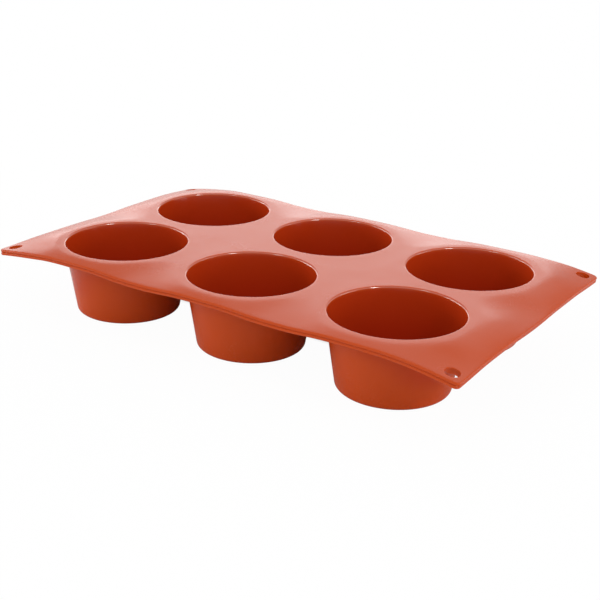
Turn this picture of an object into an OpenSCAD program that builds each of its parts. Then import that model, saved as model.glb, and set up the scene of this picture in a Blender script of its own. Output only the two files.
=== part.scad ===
// Flexible silicone baking mould with six plain round cups, 300 x 175 mm.
// It stands on its cup floors, and the edges of its sheet hang a little below the cup mouths.
// Origin: on the table, under the middle of the mould. +X runs along the length, +Y towards the back.

/* [Cups] */
// Radius of a cup's mouth inside, before the rim is rounded
mouth_r = 35.3; // [20:0.1:60]
// Radius of a cup's floor inside, where the tapered wall would meet it
base_r = 29; // [14:0.1:54]
// Depth of a cup inside
depth = 39.8; // [20:0.5:80]
// Thickness of a cup's wall
wall = 1.4; // [1:0.1:3]
// Thickness of a cup's floor
floor_t = 1.4; // [1:0.1:4]
// Rounding of the rim, from the inner wall to its level top
rim_round = 1.2; // [0.6:0.1:4]
// Level strip round the rim's rounding, where the cup passes into the sheet
rim_land = 0.6; // [0.2:0.1:3]
// Rounding inside, between a cup's wall and its floor
inner_round = 3; // [1:0.1:8]
// Rounding outside, between a cup's wall and its underside
outer_round = 2.5; // [1:0.1:8]
// Rounding outside, where a cup's wall meets the underside of the sheet
under_round = 0.8; // [0.5:0.1:3]

/* [Sheet] */
// Thickness of the sheet that joins the cups
sheet_t = 3.1; // [1.5:0.1:5]
// Gap between the rims of two cups side by side along the length
gap_x = 17; // [4:0.1:60]
// Gap between the rims of the front and the back row
gap_y = 7.8; // [4:0.1:60]
// Sheet beyond the rims at the two short ends
end_margin = 21.7; // [16:0.1:60]
// Sheet beyond the rims along the two long sides
side_margin = 9.4; // [6:0.1:60]
// Radius of the sheet's four corners in plan
corner_r = 3; // [1:0.5:6]

/* [Hang] */
// How far the short edges hang below the rims
end_sag = 6; // [1:0.5:12]
// How far the long edges hang below the rims
side_sag = 2; // [0.5:0.5:8]
// Level strip kept around the rims before the sheet starts to hang
land = 1; // [0.5:0.1:3]

/* [Corner holes] */
// Diameter of the four corner holes
hole_d = 8; // [3:0.5:9]
// Distance from a hole's centre to both edges of the sheet
hole_inset = 7; // [6:0.5:10]

/* [Hidden] */

silicone = [0.72, 0.25, 0.15];
round_fn = 96;
curve_steps = 8;
past = 1;

hang_power = 1.25;

height = depth + floor_t;
sheet_under = height - sheet_t;

// A cup's wall is a straight taper from its mouth, at the top of the sheet, to its floor.
taper = atan((mouth_r - base_r) / depth);
function inner_r(z) = base_r + (z - floor_t) * tan(taper);
function outer_r(z) = inner_r(z) + wall / cos(taper);

// A cup ends in an upright face of this radius, where it passes into the sheet.
seat_r = max(mouth_r + rim_round + rim_land, outer_r(sheet_under) + under_round);
pitch_x = 2 * seat_r + gap_x;
pitch_y = 2 * seat_r + gap_y;
sheet_l = 2 * (pitch_x + seat_r + end_margin);
sheet_w = pitch_y + 2 * (seat_r + side_margin);

// Points of an arc of radius r about the centre (x, z), from angle a to angle b.
function arc(x, z, r, a, b) =
    [for (i = [0:curve_steps]) let (t = a + (b - a) * i / curve_steps) [x + r * cos(t), z + r * sin(t)]];

// Distance from the axis to the centre of an arc that touches one side of the wall, with its centre at height z:
// inside the cup, in the wall's top, in the wall's foot and outside the cup.
function cavity_arc_r(z, r) = inner_r(z) - r / cos(taper);
function rim_arc_r(z, r) = inner_r(z) + r / cos(taper);
function foot_arc_r(z, r) = outer_r(z) - r / cos(taper);
function outside_arc_r(z, r) = outer_r(z) + r / cos(taper);

// Half of one cup's section: up the outside, over the rim and down the inside.
module cup_section() {
    under_z = sheet_under - under_round;
    rim_z = height - rim_round;
    cavity_z = floor_t + inner_round;
    polygon(concat(
        [[0, 0]],
        arc(foot_arc_r(outer_round, outer_round), outer_round, outer_round, -90, -taper),
        arc(outside_arc_r(under_z, under_round), under_z, under_round, 180 - taper, 90),
        [[seat_r, sheet_under], [seat_r, height]],
        arc(rim_arc_r(rim_z, rim_round), rim_z, rim_round, 90, 180 - taper),
        arc(cavity_arc_r(cavity_z, inner_round), cavity_z, inner_round, -taper, -90),
        [[0, floor_t]]));
}

module cup(column, row)
    color(silicone)
    translate([column * pitch_x, row * pitch_y / 2, 0])
    rotate_extrude($fn = round_fn)
    cup_section();

// Height of the sheet's top, d from the middle: level at flat, and hanging by sag at half.
// Nearer to the middle it goes on rising, so that the long sides' bend cuts the level top cleanly.
function hang(d, flat, half, sag) =
    let (s = (d - flat) / (half - flat)) height - sag * sign(s) * pow(abs(s), hang_power);

// A side view of the space between a foot and a hanging surface lowered by drop, with a point at each of the steps.
module hang_section(flat, half, sag, drop, steps, foot) {
    bend = [for (i = steps) flat + (half + past - flat) * i / curve_steps];
    right = [for (d = bend) [d, hang(d, flat, half, sag) - drop]];
    left = [for (i = [len(right) - 1:-1:0]) [-right[i][0], right[i][1]]];
    polygon(concat([[half + past, foot], [-half - past, foot]], left, right));
}

// All that lies under the sheet's top, or under its bottom when drop is the sheet's thickness.
// The two bends overshoot each other on every side, so that no two of their faces share a plane.
module below_sheet(drop) {
    flat_x = pitch_x + seat_r + land;
    flat_y = pitch_y / 2 + seat_r + land;
    from_level = [for (i = [0:curve_steps]) i];
    from_above = concat([-1], [for (i = [1:curve_steps]) i]);
    intersection() {
        rotate([90, 0, 0])
            linear_extrude(sheet_w + 4 * past, center = true)
            hang_section(flat_x, sheet_l / 2, end_sag, drop, from_level, -drop);
        rotate([90, 0, 90])
            linear_extrude(sheet_l + 4 * past, center = true)
            hang_section(flat_y, sheet_w / 2, side_sag, drop, from_above, -drop - past);
    }
}

module sheet_outline() {
    half_l = sheet_l / 2 - corner_r;
    half_w = sheet_w / 2 - corner_r;
    square([sheet_l, 2 * half_w], center = true);
    square([2 * half_l, sheet_w], center = true);
    for (x = [-half_l, half_l], y = [-half_w, half_w])
        translate([x, y])
        circle(corner_r, $fn = round_fn);
}

// Round openings: a seat for each cup and a hole at each corner.
module sheet_openings() {
    for (column = [-1:1], row = [-1, 1])
        translate([column * pitch_x, row * pitch_y / 2, -past])
        cylinder(h = height + 2 * past, r = seat_r, $fn = round_fn);
    hole_x = sheet_l / 2 - hole_inset;
    hole_y = sheet_w / 2 - hole_inset;
    for (x = [-hole_x, hole_x], y = [-hole_y, hole_y])
        translate([x, y, -past])
        cylinder(h = height + 2 * past, d = hole_d, $fn = round_fn);
}

module sheet() {
    lowest = sheet_under - max(end_sag, side_sag);
    color(silicone)
    difference() {
        intersection() {
            translate([0, 0, lowest - past])
                linear_extrude(height - lowest + 2 * past)
                sheet_outline();
            below_sheet(0);
        }
        below_sheet(sheet_t);
        sheet_openings();
    }
}

sheet();
cup(-1, -1);  // cup_front_left
cup(0, -1);  // cup_front_middle
cup(1, -1);  // cup_front_right
cup(-1, 1);  // cup_back_left
cup(0, 1);  // cup_back_middle
cup(1, 1);  // cup_back_right
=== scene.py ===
import bpy
import numpy as np
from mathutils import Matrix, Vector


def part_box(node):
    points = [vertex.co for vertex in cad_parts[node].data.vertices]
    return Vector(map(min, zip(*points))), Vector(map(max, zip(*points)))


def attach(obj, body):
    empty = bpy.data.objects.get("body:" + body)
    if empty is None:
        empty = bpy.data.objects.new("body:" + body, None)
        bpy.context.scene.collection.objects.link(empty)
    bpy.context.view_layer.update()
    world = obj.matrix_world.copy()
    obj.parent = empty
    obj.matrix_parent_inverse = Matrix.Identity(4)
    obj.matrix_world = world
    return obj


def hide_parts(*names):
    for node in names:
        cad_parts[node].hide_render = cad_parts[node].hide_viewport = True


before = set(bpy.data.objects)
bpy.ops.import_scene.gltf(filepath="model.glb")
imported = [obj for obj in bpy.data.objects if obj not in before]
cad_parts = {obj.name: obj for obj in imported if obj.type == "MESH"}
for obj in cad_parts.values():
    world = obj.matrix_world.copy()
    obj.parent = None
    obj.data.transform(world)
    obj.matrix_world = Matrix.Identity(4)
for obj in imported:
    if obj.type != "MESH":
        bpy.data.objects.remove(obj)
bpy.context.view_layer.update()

# A flexible silicone baking mould: a sheet with two rows of three round cups, which stands on its cups.
# Origin: on the table, under the middle of the mould. +X runs along the length, +Y towards the back.

MM = 0.001

# ---------------------------------------------------------------- sizes, in millimetres
# The sheet's and the cups' outer sizes come from the frame.


def millimetres(corner):
    """A corner of one of the frame's boxes, from metres."""
    return np.round(np.array(corner) / MM, 3)


HALF_L, HALF_W, TOP = millimetres(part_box("sheet")[1])
# Each cup's column and row.
CUPS = {
    f"cup_{row}_{column}": (i, j)
    for j, row in ((-1, "front"), (1, "back"))
    for i, column in ((-1, "left"), (0, "middle"), (1, "right"))
}
cup_low, cup_high = (millimetres(corner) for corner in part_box("cup_back_right"))
CUP_X, CUP_Y = ((cup_low + cup_high) / 2)[:2].round(3)
SEAT_R = ((cup_high - cup_low) / 2)[0].round(3)
COLUMNS, ROWS = (-CUP_X, 0, CUP_X), (-CUP_Y, CUP_Y)

SHEET_T = 3.4
CORNER_R = 3.0  # in plan
HOLE_R = 3.8
HOLE_INSET = 7.0  # from a hole's centre to both edges
HOLE_ROUND = 0.3
UPPER_ROUND = 0.8  # of the outer edge's upper lip
LOWER_ROUND = 0.6  # of its lower lip
GROOVE_DEPTH = 0.5
# The groove in the outer edge: shares of its depth, each at a distance below the sheet's top.
GROOVE = np.array([(0.30, 1.30), (0.85, 1.55), (1.10, 1.68), (0.95, 1.78), (0.30, 1.92), (0.10, 2.10)])

FLOOR_T = 1.4
DEPTH = TOP - FLOOR_T
WALL, WALL_TOP = 1.4, 1.1  # at the floor and at the mouth
MOUTH_R, BASE_R = 35.6, 29.0  # inside
RIM_ROUND = 1.15
INNER_ROUND = 3.0  # between the wall and the floor
OUTER_ROUND = 2.5  # at the foot
UNDER_ROUND = 0.8  # under the sheet
STRAY = 0.12  # of the wall from round, at mid-height

# How the sheet hangs. A pair of values is for the right end and the left end, which differ a little. A value
# ending in BESIDE_CUPS, BETWEEN_CUPS, AT_SIDES or TO_RIGHT is what the plain one changes by there.
END_START = 115, 111  # where the bend of the ends starts
END_START_BESIDE_CUPS = 15
END_START_AT_SIDES = 2, -3.8  # at the right end, only at the back
END_SAG = 5.5, 5.65  # depth at the edge
LEFT_SAG_BESIDE_CUPS = -0.08  # as a share
END_SOFTNESS = 1.0, 1.3
END_SOFTNESS_FRONT_RIGHT = -0.6
SIDE_START = 78  # where the bend of the sides starts
SIDE_START_BETWEEN_CUPS = -28
SIDE_SAG = 2.28  # depth at the edge
SIDE_SAG_BESIDE_CUPS = -1.12
SIDE_SAG_TO_RIGHT = -0.19  # as a share
SIDE_SOFTNESS = 1.2
SIDE_SOFTNESS_BETWEEN_CUPS = -0.7
JOIN_POWER = 1.64
RIPPLE = 0.15
# How much more or less each corner hangs than that: (side in x, side in y, share).
CORNER_SAG = ((1, -1, 0.05), (1, 1, -0.12), (-1, -1, -0.16), (-1, 1, 0.1))
# How far from a cup's axis counts as beside it: at the ends, and at the sides for the start and the sag.
END_REACH, SIDE_START_REACH, SIDE_SAG_REACH = 30, 34, 28
# How far from the seats the hang and the ripple fade in.
HANG_FADE, RIPPLE_FADE = 4, 8

# ---------------------------------------------------------------- the sheet's surface


def bend(s, softness):
    """Depth of a hanging edge, from 0 at s = 0 to 1 at s = 1.

    (1 + k) s squared over (s + k), where k is the softness: a parabola that becomes a straight slope.
    """
    s = np.clip(s, 0, None)
    return (1 + softness) * s**2 / (s + softness)


def near(v, centres, reach):
    """1 beside any of the centres and 0 away from them: the sum of exp(-((v - c) / reach) to the fourth)."""
    return sum(np.exp(-(((v - c) / reach) ** 4)) for c in centres)


def clear_of_cups(x, y, reach):
    """0 on every seat circle and 1 away from them: the product of 1 - exp(-(distance / reach) squared)."""
    mask = np.ones_like(x)
    for i, j in CUPS.values():
        gap = np.hypot(x - i * CUP_X, y - j * CUP_Y) - SEAT_R
        mask = mask * (1 - np.exp(-((gap / reach) ** 2)))
    return mask


def end_hang(x, y):
    """Depth of the short ends, which bend down from a line that runs round the outer cups.

    The bend's s is (|x| - start) / (half length - start). Towards the sides the start shifts with the fourth
    power of y, and towards the front right corner the softness changes with the square of y.
    """
    right = x > 0
    beside_cups = near(y, ROWS, END_REACH)
    at_sides = (y / HALF_W) ** 4
    swing = END_START_BESIDE_CUPS * beside_cups
    start_right = END_START[0] + swing + END_START_AT_SIDES[0] * at_sides * (y > 0)
    start_left = END_START[1] + swing + END_START_AT_SIDES[1] * at_sides
    start = np.where(right, start_right, start_left)
    depth = np.where(right, END_SAG[0], END_SAG[1] * (1 + LEFT_SAG_BESIDE_CUPS * beside_cups))
    front_right = right * np.clip(-y / HALF_W, 0, 1) ** 2
    softness = np.where(right, *END_SOFTNESS) + END_SOFTNESS_FRONT_RIGHT * front_right
    return depth * bend((abs(x) - start) / (HALF_L - start), softness)


def side_hang(x, y):
    """Depth of the long sides, which bend down from a line outside the cups that turns inwards between them.

    The bend's s is (|y| - start) / (half width - start). The sides hang less beside the cups, and less
    towards the right.
    """
    between_cups = 1 - near(x, COLUMNS, SIDE_START_REACH)
    start = SIDE_START + SIDE_START_BETWEEN_CUPS * between_cups
    depth = SIDE_SAG + SIDE_SAG_BESIDE_CUPS * near(x, COLUMNS, SIDE_SAG_REACH)
    depth = depth * (1 + SIDE_SAG_TO_RIGHT * x / HALF_L)
    softness = SIDE_SOFTNESS + SIDE_SOFTNESS_BETWEEN_CUPS * between_cups
    return depth * bend((abs(y) - start) / (HALF_W - start), softness)


def hang(x, y):
    """How far the sheet's top hangs below the cup rims at (x, y).

    The depths a and b of the ends and the sides join as (a^p + b^p)^(1/p). Each corner then hangs by its own
    share, which grows with the fourth power of x and of y. A slow ripple, 0.5 + 0.3 sin(x / 21 + 0.7)
    cos(y / 17 - 0.4) + 0.2 sin(x / 9 - y / 13), dips the sheet a little. Both fade to nothing at the seats.
    """
    depth = (end_hang(x, y) ** JOIN_POWER + side_hang(x, y) ** JOIN_POWER) ** (1 / JOIN_POWER)
    for right, back, share in CORNER_SAG:
        u, v = np.clip(right * x, 0, None) / HALF_L, np.clip(back * y, 0, None) / HALF_W
        depth = depth * (1 + share * (u * v) ** 4)
    ripple = 0.5 + 0.3 * np.sin(x / 21 + 0.7) * np.cos(y / 17 - 0.4) + 0.2 * np.sin(x / 9 - y / 13)
    return depth * clear_of_cups(x, y, HANG_FADE) + RIPPLE * clear_of_cups(x, y, RIPPLE_FADE) * ripple


def top_surface(x, y):
    """Points of the sheet's top at (x, y), and the unit normals there, from central differences of hang."""
    step = 0.01
    slope_x = (hang(x + step, y) - hang(x - step, y)) / (2 * step)
    slope_y = (hang(x, y + step) - hang(x, y - step)) / (2 * step)
    point = np.stack([x, y, TOP - hang(x, y)], -1)
    normal = np.stack([slope_x, slope_y, np.ones_like(x)], -1)
    return point, normal / np.linalg.norm(normal, axis=-1, keepdims=True)


# ---------------------------------------------------------------- meshes

SHARP_DEGREES = 38


class Shell:
    """Grids of points, in millimetres, that are welded into one mesh."""

    def __init__(self):
        self.points, self.faces, self.count = [], [], 0

    def grid(self, points, closed=False, turn=False):
        """Adds a grid of points, rows by columns, as quads.

        closed joins its last column to its first, and turn makes its faces point the other way.
        """
        rows, columns = points.shape[:2]
        index = self.count + np.arange(rows * columns).reshape(rows, columns)
        if closed:
            index = np.concatenate([index, index[:, :1]], 1)
        quads = np.stack([index[:-1, :-1], index[:-1, 1:], index[1:, 1:], index[1:, :-1]], -1).reshape(-1, 4)
        self.points.append(points.reshape(-1, 3))
        self.faces.append(quads[:, ::-1] if turn else quads)
        self.count += rows * columns

    def piece(self, name):
        """Makes the object at the origin. Points within a tenth of a micrometre are welded.

        A quad that loses one corner by this becomes a triangle, and one that loses two is left out.
        """
        points, welded = np.unique(np.round(np.concatenate(self.points), 4), axis=0, return_inverse=True)
        quads = welded.reshape(-1)[np.concatenate(self.faces)]
        lost = quads == np.roll(quads, -1, 1)
        narrow = lost.any(1)
        triangles = [q[~gone].tolist() for q, gone in zip(quads[narrow], lost[narrow]) if gone.sum() == 1]
        mesh = bpy.data.meshes.new(name)
        mesh.from_pydata(points * MM, [], quads[~narrow].tolist() + triangles)
        mesh.validate()
        mesh.shade_smooth()
        mesh.set_sharp_from_angle(angle=np.radians(SHARP_DEGREES))
        obj = bpy.data.objects.new(name, mesh)
        bpy.context.scene.collection.objects.link(obj)
        return obj


def arc(centre_x, centre_z, radius, start, end, steps):
    """Points of an arc in section, from one angle to the other in degrees."""
    a = np.radians(np.linspace(start, end, steps + 1))
    return np.stack([centre_x + radius * np.cos(a), centre_z + radius * np.sin(a)], -1)


# ---------------------------------------------------------------- the sheet
# Its plan is divided into a cell round each cup, a cell round each corner hole, and a strip at each end.
# Cells share the samples of their common borders. The samples are those of the quadrant where x and y are
# positive, and the other quadrants mirror them.

# The line in plan where the outer edge's section starts: its half length, half width and corner radius.
IN_L, IN_W, IN_R = HALF_L - UPPER_ROUND, HALF_W - UPPER_ROUND, CORNER_R - UPPER_ROUND
# Where the outer cups' cells start, and where the strips and the holes' cells start.
CUT_X = CUP_X / 2
STRIP_X, STRIP_Y = HALF_L - 2 * HOLE_INSET, HALF_W - 2 * HOLE_INSET

low_y = np.linspace(0, STRIP_Y, 38)
high_y = np.linspace(STRIP_Y, IN_W, 8)
side_y = np.concatenate([low_y, high_y[1:]])
middle_x = np.linspace(-CUT_X, CUT_X, 47)
outer_x = np.linspace(CUT_X, STRIP_X, 46)
strip_x = np.linspace(STRIP_X, IN_L, 8)
corner_rise = np.linspace(STRIP_Y, IN_W - IN_R, 7)
corner_arc = arc(IN_L - IN_R, IN_W - IN_R, IN_R, 0, 90, 7)
corner_run = np.linspace(IN_L - IN_R, STRIP_X, 7)


def line(x, y):
    """Samples in plan, with either coordinate held."""
    x, y = np.broadcast_arrays(x, y)
    return np.stack([x, y], -1).astype(float)


def chain(*lines):
    """Lines joined end to end, without the points that they share."""
    return np.concatenate([lines[0]] + [part[1:] for part in lines[1:]])


def cup_border(x):
    """The border of a cup's cell, anticlockwise from the middle line, over the given samples of x."""
    sides = line(x, 0), line(x[-1], side_y), line(x[::-1], IN_W), line(x[0], side_y[::-1])
    return chain(*sides)[:-1]


# By the cup's distance from the middle column.
CUP_BORDERS = {0: cup_border(middle_x), 1: cup_border(outer_x)}
# The line where the outer edge's section starts, round one corner from the end to the side.
EDGE_AT_CORNER = line(IN_L, corner_rise), corner_arc, line(corner_run, IN_W)
HOLE_BORDER = chain(line(strip_x, STRIP_Y), *EDGE_AT_CORNER, line(STRIP_X, high_y[::-1]))[:-1]
HOLE_CENTRE = np.array([HALF_L - HOLE_INSET, HALF_W - HOLE_INSET])
# The signs of x and y in each quadrant, anticlockwise round the sheet.
QUADRANTS = ((1, 1), (-1, 1), (-1, -1), (1, -1))


def around(centre, border):
    """Unit vectors in plan from a centre to the border's samples."""
    d = border - centre
    return d / np.linalg.norm(d, axis=1, keepdims=True)


def cup_plan(i, j):
    """A cup's centre and its cell's border in the sampled quadrant, and the signs that put them in place.

    The middle cups' cells lie on both sides of x = 0, and count as on the right.
    """
    return np.array([abs(i) * CUP_X, CUP_Y]), CUP_BORDERS[abs(i)], (i or 1, j)


def ring(centre, radius, border, steps, power):
    """Samples in plan between a circle and a cell's border.

    A point is (1 - t) circle + t border, with t = (step / steps) to the given power, so that a power over 1
    puts the samples closer together at the circle.
    """
    circle = centre + radius * around(centre, border)
    t = (np.linspace(0, 1, steps + 1) ** power)[:, None, None]
    return (1 - t) * circle + t * border


def both_faces(shell, plan, signs, closed=False):
    """Adds the sheet's top over these samples in plan, and its underside, one thickness along the normal."""
    point, normal = top_surface(plan[..., 0] * signs[0], plan[..., 1] * signs[1])
    turn = signs[0] * signs[1] > 0
    shell.grid(point, closed, turn)
    shell.grid(point - SHEET_T * normal, closed, not turn)


def carry(shell, path, outward, section, turn):
    """Adds a section carried along a closed path on the sheet's top.

    A point is the path's point, plus the section's first value along the outward direction laid in the
    surface, less its second value along the surface's normal. No point passes the sheet's outer size.
    """
    point, normal = top_surface(path[:, 0], path[:, 1])
    out = np.concatenate([outward, np.zeros((len(path), 1))], 1)
    out = out - (out * normal).sum(1, keepdims=True) * normal
    out = out / np.linalg.norm(out, axis=1, keepdims=True)
    o, d = section[:, 0, None, None], section[:, 1, None, None]
    limit = np.array([HALF_L, HALF_W, TOP])
    shell.grid(np.clip(point + o * out - d * normal, -limit, limit), True, turn)


def rounded_edge(radius, groove):
    """Section of a cut edge, from the top to the underside, as (outward, depth).

    A quarter round, a face with a groove a little above its middle, and the quarter round of the lower lip,
    which is never larger than the upper one.
    """
    lower = min(radius, LOWER_ROUND)
    top = arc(0, radius, radius, -90, 0, 8)
    face = np.stack([radius - groove * GROOVE[:, 0], GROOVE[:, 1]], -1)
    bottom = arc(radius - lower, SHEET_T - lower, lower, 0, 90, 6)
    return np.concatenate([top, face, bottom, [(0, SHEET_T)]])


def add_seat(shell, i, j):
    """The sheet round one cup: both faces from the seat circle to the cell's border, and the seat's wall."""
    centre, border, signs = cup_plan(i, j)
    both_faces(shell, ring(centre, SEAT_R, border, steps=17, power=1.5), signs, closed=True)
    circle = (centre + SEAT_R * around(centre, border)) * signs
    wall = np.stack([np.column_stack([circle, np.full(len(circle), z)]) for z in (TOP, TOP - SHEET_T)])
    shell.grid(wall, True, signs[0] * signs[1] < 0)


def add_end_strip(shell, side):
    """The strip at one short end, between the cells of its two holes."""
    y = np.concatenate([-low_y[:0:-1], low_y])
    both_faces(shell, np.stack(np.meshgrid(strip_x, y, indexing="ij"), -1), (side, 1))


def add_hole(shell, signs):
    """The sheet round one corner hole, and the hole's wall with its softened rims."""
    radius = HOLE_R + HOLE_ROUND
    both_faces(shell, ring(HOLE_CENTRE, radius, HOLE_BORDER, steps=6, power=1), signs, closed=True)
    away = around(HOLE_CENTRE, HOLE_BORDER)
    circle = (HOLE_CENTRE + radius * away) * signs
    carry(shell, circle, -away * signs, rounded_edge(HOLE_ROUND, 0), signs[0] * signs[1] < 0)


def add_outer_edge(shell):
    """The outer edge: its section carried once round the sheet, square to the edge in plan."""
    half_middle = middle_x[len(middle_x) // 2 :]
    sides = line(outer_x[::-1], IN_W), line(half_middle[::-1], IN_W)
    quadrant = chain(line(IN_L, low_y), *EDGE_AT_CORNER, *sides)
    away = np.where(quadrant[:, :1] >= IN_L, (1.0, 0.0), (0.0, 1.0))
    corner_centre = np.array([IN_L - IN_R, IN_W - IN_R])
    at_corner = (quadrant > corner_centre).all(1)
    away[at_corner] = around(corner_centre, quadrant[at_corner])
    path, outward = [], []
    for signs in QUADRANTS:
        step = 1 if signs[0] * signs[1] > 0 else -1
        path.append((quadrant * signs)[::step][:-1])
        outward.append((away * signs)[::step][:-1])
    section = rounded_edge(UPPER_ROUND, GROOVE_DEPTH)
    carry(shell, np.concatenate(path), np.concatenate(outward), section, True)


def make_sheet():
    """The whole sheet, as one closed mesh."""
    shell = Shell()
    for i, j in CUPS.values():
        add_seat(shell, i, j)
    for side in (1, -1):
        add_end_strip(shell, side)
    for signs in QUADRANTS:
        add_hole(shell, signs)
    add_outer_edge(shell)
    return shell.piece("sheet_moulded")


# ---------------------------------------------------------------- the cups

SLOPE_IN = (MOUTH_R - BASE_R) / DEPTH
SLOPE_OUT = SLOPE_IN - (WALL - WALL_TOP) / DEPTH


def inner_r(z):
    """Radius of the wall's inside at a height."""
    return BASE_R + (z - FLOOR_T) * SLOPE_IN


def outer_r(z):
    """Radius of the wall's outside at a height."""
    return BASE_R + WALL + (z - FLOOR_T) * SLOPE_OUT


def between(a, b, steps):
    """Points on the straight line from a to b, without its ends."""
    return a + (b - a) * np.linspace(0, 1, steps + 1)[1:-1, None]


def cup_section():
    """Half of a cup's section as (radius, height), from the middle of its underside to that of its floor.

    Each round is an arc that touches the tapered wall: its centre lies one radius from the wall's line.
    """
    lean_in, lean_out = np.degrees(np.arctan((SLOPE_IN, SLOPE_OUT)))
    away_in, away_out = np.hypot(1, SLOPE_IN), np.hypot(1, SLOPE_OUT)
    under_z, rim_z, cavity_z = TOP - SHEET_T - UNDER_ROUND, TOP - RIM_ROUND, FLOOR_T + INNER_ROUND
    foot = arc(outer_r(OUTER_ROUND) - OUTER_ROUND * away_out, OUTER_ROUND, OUTER_ROUND, -90, -lean_out, 9)
    under = arc(outer_r(under_z) + UNDER_ROUND * away_out, under_z, UNDER_ROUND, 180 - lean_out, 90, 5)
    seat = np.array([(SEAT_R, TOP - SHEET_T), (SEAT_R, TOP)])
    rim = arc(inner_r(rim_z) + RIM_ROUND * away_in, rim_z, RIM_ROUND, 90, 180 - lean_in, 12)
    cavity = arc(inner_r(cavity_z) - INNER_ROUND * away_in, cavity_z, INNER_ROUND, -lean_in, -90, 9)
    start, end = np.array([(0, 0)]), np.array([(0, FLOOR_T)])
    outside = [start, between(start[0], foot[0], 5), foot, between(foot[-1], under[0], 14), under, seat]
    inside = [rim, between(rim[-1], cavity[0], 14), cavity, between(cavity[-1], end[0], 5), end]
    return np.concatenate(outside + inside)


def make_cup(name, i, j):
    """A cup: its section turned about its axis, on the same directions as the samples of its seat.

    The wall strays a little from round: radius + stray sin(2 angle + phase) sin(pi z / wall height) squared,
    where each cup has its own phase.
    """
    centre, border, signs = cup_plan(i, j)
    direction = around(centre, border) * signs
    angle = np.arctan2(direction[:, 1], direction[:, 0])
    section = cup_section()
    r, z = section[:, 0, None], section[:, 1, None]
    on_wall = r > 0.8 * BASE_R
    free = on_wall * np.sin(np.pi * np.clip(z / (TOP - SHEET_T), 0, 1)) ** 2
    phase = 1.3 * i + 2.1 * j
    r = r + STRAY * free * np.sin(2 * angle + phase)
    x, y = (centre * signs)[:, None, None] + r * direction.T[:, None, :]
    shell = Shell()
    shell.grid(np.stack([x, y, np.broadcast_to(z, x.shape)], -1), True, signs[0] * signs[1] < 0)
    return shell.piece(name + "_moulded")


# ---------------------------------------------------------------- materials


class Signal:
    """An output in a node graph. Arithmetic on signals adds Math nodes."""

    def __init__(self, graph, socket):
        self.graph, self.socket = graph, socket

    def maths(self, operation, *values):
        """A Math node on these values."""
        return self.graph.node("Math", {"operation": operation}, dict(enumerate(values)))

    def __add__(self, other):
        return self.maths("ADD", self, other)

    def __radd__(self, other):
        return self.maths("ADD", other, self)

    def __sub__(self, other):
        return self.maths("SUBTRACT", self, other)

    def __rsub__(self, other):
        return self.maths("SUBTRACT", other, self)

    def __mul__(self, other):
        return self.maths("MULTIPLY", self, other)

    def __rmul__(self, other):
        return self.maths("MULTIPLY", other, self)

    def __pow__(self, other):
        return self.maths("POWER", self, other)

    def __rpow__(self, other):
        return self.maths("POWER", other, self)

    def __abs__(self):
        return self.maths("ABSOLUTE", self)


class Graph:
    """The node tree of a material or world, and the one way to add a node to it."""

    def __init__(self, owner):
        owner.use_nodes = True
        self.tree = owner.node_tree
        self.tree.nodes.clear()

    def node(self, kind, settings=None, inputs=None, output=0):
        """Adds a node: its settings first, then its inputs' values or links. Returns the asked output."""
        made = self.tree.nodes.new("ShaderNode" + kind)
        for name, value in (settings or {}).items():
            setattr(made, name, value)
        for name, value in (inputs or {}).items():
            if isinstance(value, Signal):
                self.tree.links.new(value.socket, made.inputs[name])
            else:
                made.inputs[name].default_value = value
        return Signal(self, made.outputs[output]) if made.outputs else made

    def place(self, axes):
        """Object coordinates: the vector, then each of the named axes."""
        place = self.node("TexCoord", output="Object")
        return place, *(self.node("SeparateXYZ", None, {"Vector": place}, output=axis) for axis in axes)


def ramp(g, value, start, end, low=0.0, high=1.0):
    """A smooth step from low at start to high at end."""
    inputs = {"Value": value, "From Min": start, "From Max": end, "To Min": low, "To Max": high}
    return g.node("MapRange", {"interpolation_type": "SMOOTHSTEP"}, inputs)


def mix(g, share, first, second):
    """A colour between two colours."""
    settings = {"data_type": "RGBA", "clamp_factor": True}
    return g.node("Mix", settings, {0: share, 6: first, 7: second}, output=2)


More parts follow.
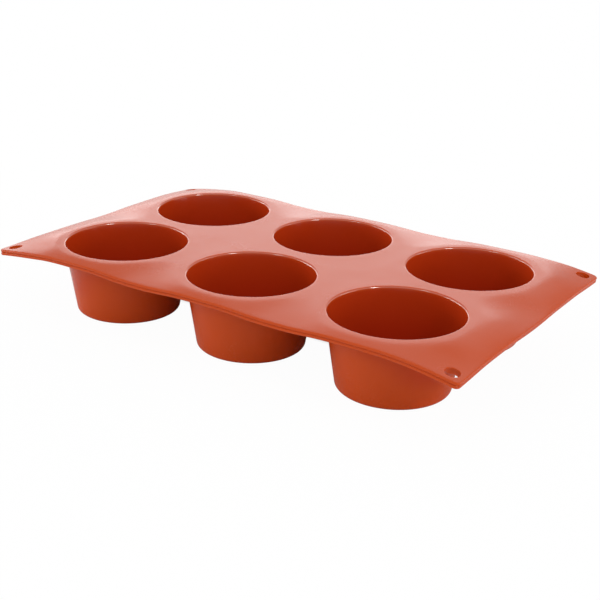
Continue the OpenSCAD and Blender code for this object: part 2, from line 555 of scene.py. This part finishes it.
def silicone(name, colour, pale, painted_shade_colour):
    """Moulded silicone rubber with a satin skin, and glossier inside the cups.

    Its colour wanders a little towards a paler, dustier shade over a few centimetres. Painted shade darkens
    the insides of the cups towards a deeper red below the rim, most at their floors. The skin has a fine
    eggshell grain, with slow waves under it, and its gloss varies with the paler tone and the grain. A
    polished line runs round each mouth, just under the top of its rim.
    """
    material = bpy.data.materials.new(name)
    g = Graph(material)
    place, x, y, z = g.place("XYZ")

    # How far a point lies outside the inner wall of the nearest cup, with x wrapped into one column.
    along = g.node("Math", {"operation": "WRAP"}, {0: x, 1: CUP_X / 2 * MM, 2: -CUP_X / 2 * MM})
    across = abs(y) - CUP_Y * MM
    beyond = (along * along + across * across) ** 0.5 - (z * SLOPE_IN + inner_r(0) * MM)

    # within is 1 on the insides of the cups and 0 on the rest of the mould, and the mask of painted shade
    # below the rims and lip are parts of it by height. down runs from 0 at the top of the mould to 1 at the
    # cups' floors.
    near_cups = ramp(g, abs(x), (CUP_X + SEAT_R + 1) * MM, (CUP_X + SEAT_R) * MM)
    within = ramp(g, beyond, 1.3 * MM, 1.0 * MM) * ramp(g, z, 0.7 * MM, 1.2 * MM) * near_cups
    down = ramp(g, z, TOP * MM, FLOOR_T * MM)
    # Where painted shade darkens the insides of the cups, below the rim.
    painted_shade_mask = within * ramp(g, z, (TOP - 0.4) * MM, (TOP - 2.2) * MM)
    under_top = ramp(g, z, (TOP - 0.22) * MM, (TOP - 0.34) * MM)
    lip = within * ramp(g, z, (TOP - 0.9) * MM, (TOP - 0.6) * MM) * under_top

    clouds = g.node("TexNoise", None, {"Vector": place, "Scale": 28.0, "Detail": 3.0, "Roughness": 0.55})
    grain = g.node("TexNoise", None, {"Vector": place, "Scale": 1600.0, "Detail": 2.0, "Roughness": 0.6})
    waves = g.node("TexNoise", None, {"Vector": place, "Scale": 60.0, "Detail": 1.0})
    shade = mix(g, (clouds - 0.42) * 0.5, colour, pale)
    fine = g.node("Bump", None, {"Strength": 0.12, "Distance": 0.00012, "Height": grain})
    slow = g.node("Bump", None, {"Strength": 0.25, "Distance": 0.0006, "Height": waves, "Normal": fine})
    looks = {
        # Painted shade: below the rim the cups' insides mix towards a deeper red, 0.65 of it at the top and
        # all of it at the floor.
        "Base Color": mix(g, painted_shade_mask * (0.65 + 0.35 * down), shade, painted_shade_colour),
        "Roughness": 0.26 - 0.11 * within + (clouds - 0.5) * 0.08 + (grain - 0.5) * 0.04,
        "IOR": 1.43,
        "Specular IOR Level": 0.25,
        "Coat Weight": 0.7 * lip,
        "Coat Roughness": 0.1,
        "Coat IOR": 2.4,
        "Normal": slow,
    }
    g.node("OutputMaterial", None, {"Surface": g.node("BsdfPrincipled", None, looks)})
    return material


RED = (0.50, 0.057, 0.004, 1)
DUSTY = (0.53, 0.075, 0.016, 1)
# A deeper red, painted as shade inside the cups.
PAINTED_SHADE_RED = (0.36, 0.017, 0.004, 1)
skin = silicone("silicone_satin", RED, DUSTY, PAINTED_SHADE_RED)

# ---------------------------------------------------------------- pieces

pieces = {"sheet": make_sheet()}
for node_name, (i, j) in CUPS.items():
    pieces[node_name] = make_cup(node_name, i, j)
for node_name, obj in pieces.items():
    obj.data.materials.append(skin)
    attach(obj, "root")
    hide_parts(node_name)

# ---------------------------------------------------------------- floor and room

WHITE = (1, 1, 1, 1)
FLOOR_WHITE = (0.9, 0.9, 0.9, 1)
FLOOR_RINGS = (0, 300, 600, 1200, 3000)  # radii in millimetres
FLOOR_Z = -0.4  # in millimetres
ROOM = 0.72


def shown_rays(g):
    """The rays that show the white background: 1 for the camera's, and 1 for those through gloss or glass."""
    camera_ray = g.node("LightPath", output="Is Camera Ray")
    gloss = g.node("LightPath", output="Is Glossy Ray") + g.node("LightPath", output="Is Transmission Ray")
    return camera_ray, gloss


def floor_white():
    """Plain matt white, with its distances in metres.

    To the camera it fades to pure white away from the mould, and keeps a trace of the shadow near it and the
    whole shadow under its middle. Gloss sees the white from further out. From below, the camera sees through
    the floor.
    """
    material = bpy.data.materials.new("floor_white")
    g = Graph(material)
    place, x, y = g.place("XY")
    distance = g.node("VectorMath", {"operation": "LENGTH"}, {0: place}, output="Value")
    front = ramp(g, y, -0.017, -0.009)
    back = ramp(g, y, 0.06, 0.10, 1.0, 0.0)
    sides = ramp(g, x * x, 0.07**2, 0.105**2, 1.0, 0.0)
    camera_ray, gloss = shown_rays(g)
    to_camera = (1 - front * back * sides) * ramp(g, distance, 0.16, 0.42, 0.97, 1.0)
    to_gloss = ramp(g, distance, 0.3, 0.8)
    plain = g.node("BsdfDiffuse", None, {"Color": FLOOR_WHITE})
    white = g.node("Emission", None, {"Color": WHITE, "Strength": 1.0})
    lit = g.node("MixShader", None, {0: camera_ray * to_camera + gloss * to_gloss, 1: plain, 2: white})
    behind = g.node("NewGeometry", output="Backfacing")
    clear = g.node("BsdfTransparent")
    both = g.node("MixShader", None, {0: camera_ray * behind, 1: lit, 2: clear})
    g.node("OutputMaterial", None, {"Surface": both})
    return material


def make_floor():
    """A round white floor: rings of points about the origin, just under the cups."""
    shell = Shell()
    a = np.linspace(0, 2 * np.pi, 65)[:-1]
    r = np.array(FLOOR_RINGS)[:, None]
    points = np.stack([r * np.cos(a), r * np.sin(a), np.full((len(r), len(a)), FLOOR_Z)], -1)
    shell.grid(points, True, True)
    floor = shell.piece("floor")
    floor.data.materials.append(floor_white())


def make_world():
    """White to the camera, and to gloss and glass near the horizon. The rest is an evenly lit room."""
    world = bpy.data.worlds.new("studio")
    bpy.context.scene.world = world
    g = Graph(world)
    way = g.node("TexCoord", output="Generated")
    up = g.node("SeparateXYZ", None, {"Vector": way}, output="Z")
    camera_ray, gloss = shown_rays(g)
    horizon = ramp(g, up, 0.05, 0.25, 1.0, 0.0)
    room = g.node("Background", None, {"Color": WHITE, "Strength": ROOM})
    white = g.node("Background", None, {"Color": WHITE, "Strength": 1.0})
    shown = camera_ray + gloss * horizon
    g.node("OutputWorld", None, {"Surface": g.node("MixShader", None, {0: shown, 1: room, 2: white})})


# ---------------------------------------------------------------- lamps and camera, in metres and degrees

# Name, azimuth, elevation, distance, width and height, and watts.
LAMPS = (
    ("backdrop_low", 214, 9, 1.8, (1.4, 0.36), 3.0),
    ("backdrop_middle", 210, 21, 1.8, (1.3, 0.45), 2.1),
    ("backdrop_high", 200, 38, 1.8, (1.3, 0.7), 2.1),
    ("backdrop_left", 250, 12, 1.8, (1.0, 0.4), 1.8),
    ("softbox_right", 74, 38, 1.5, (0.3, 0.3), 4.6),
    ("softbox_left", -17, 36, 1.5, (0.4, 0.25), 1.7),
    ("front_left", -72, 6, 1.6, (1.2, 0.4), 11.0),
    ("right_low", 118, 8, 1.6, (1.0, 0.4), 4.5),
)
LAMP_TARGET = (0, 0, 0.03)

CAMERA_TARGET = (0.044069, -0.058828, TOP * MM + 0.00025)
CAMERA_AZIMUTH, CAMERA_ELEVATION, CAMERA_ROLL = 33.7342, 21.3589, 1.4631
CAMERA_DISTANCE = 0.578212
SENSOR_WIDTH, FOCAL_LENGTH = 36.0, 67.487  # in millimetres


def around_object(azimuth, elevation, distance, target):
    """A place round a target: azimuth 0 is in front of it and 90 at its +X side."""
    a, e = np.radians(azimuth), np.radians(elevation)
    back = np.array([np.sin(a) * np.cos(e), -np.cos(a) * np.cos(e), np.sin(e)])
    return np.array(target) + distance * back


def aim(location, target, roll=0.0):
    """A matrix that looks from a place to a target, with its own X level, then turned by roll."""
    back = location - np.array(target)
    back /= np.linalg.norm(back)
    right = np.cross((0, 0, 1), back)
    right /= np.linalg.norm(right)
    up = np.cross(back, right)
    c, s = np.cos(np.radians(roll)), np.sin(np.radians(roll))
    matrix = np.eye(4)
    matrix[:3, :3] = np.stack([right * c + up * s, up * c - right * s, back], -1)
    matrix[:3, 3] = location
    return matrix.T.tolist()


def make_lamp(name, azimuth, elevation, distance, size, watts):
    """A soft rectangular lamp that faces the mould."""
    light = bpy.data.lights.new(name, "AREA")
    light.shape, light.size, light.size_y, light.energy = "RECTANGLE", size[0], size[1], watts
    lamp = bpy.data.objects.new(name, light)
    lamp.matrix_world = aim(around_object(azimuth, elevation, distance, LAMP_TARGET), LAMP_TARGET)
    lamp.visible_camera = False
    bpy.context.scene.collection.objects.link(lamp)


def make_camera():
    """The camera, to the front right of the mould and above it."""
    lens = bpy.data.cameras.new("camera")
    lens.sensor_width, lens.lens = SENSOR_WIDTH, FOCAL_LENGTH
    lens.clip_start, lens.clip_end = 0.01, 20.0
    camera = bpy.data.objects.new("camera", lens)
    place = around_object(CAMERA_AZIMUTH, CAMERA_ELEVATION, CAMERA_DISTANCE, CAMERA_TARGET)
    camera.matrix_world = aim(place, CAMERA_TARGET, CAMERA_ROLL)
    bpy.context.scene.collection.objects.link(camera)
    return camera


make_floor()
make_world()
for lamp in LAMPS:
    make_lamp(*lamp)
bpy.context.scene.camera = make_camera()
bpy.context.scene.view_settings.view_transform = "Standard"
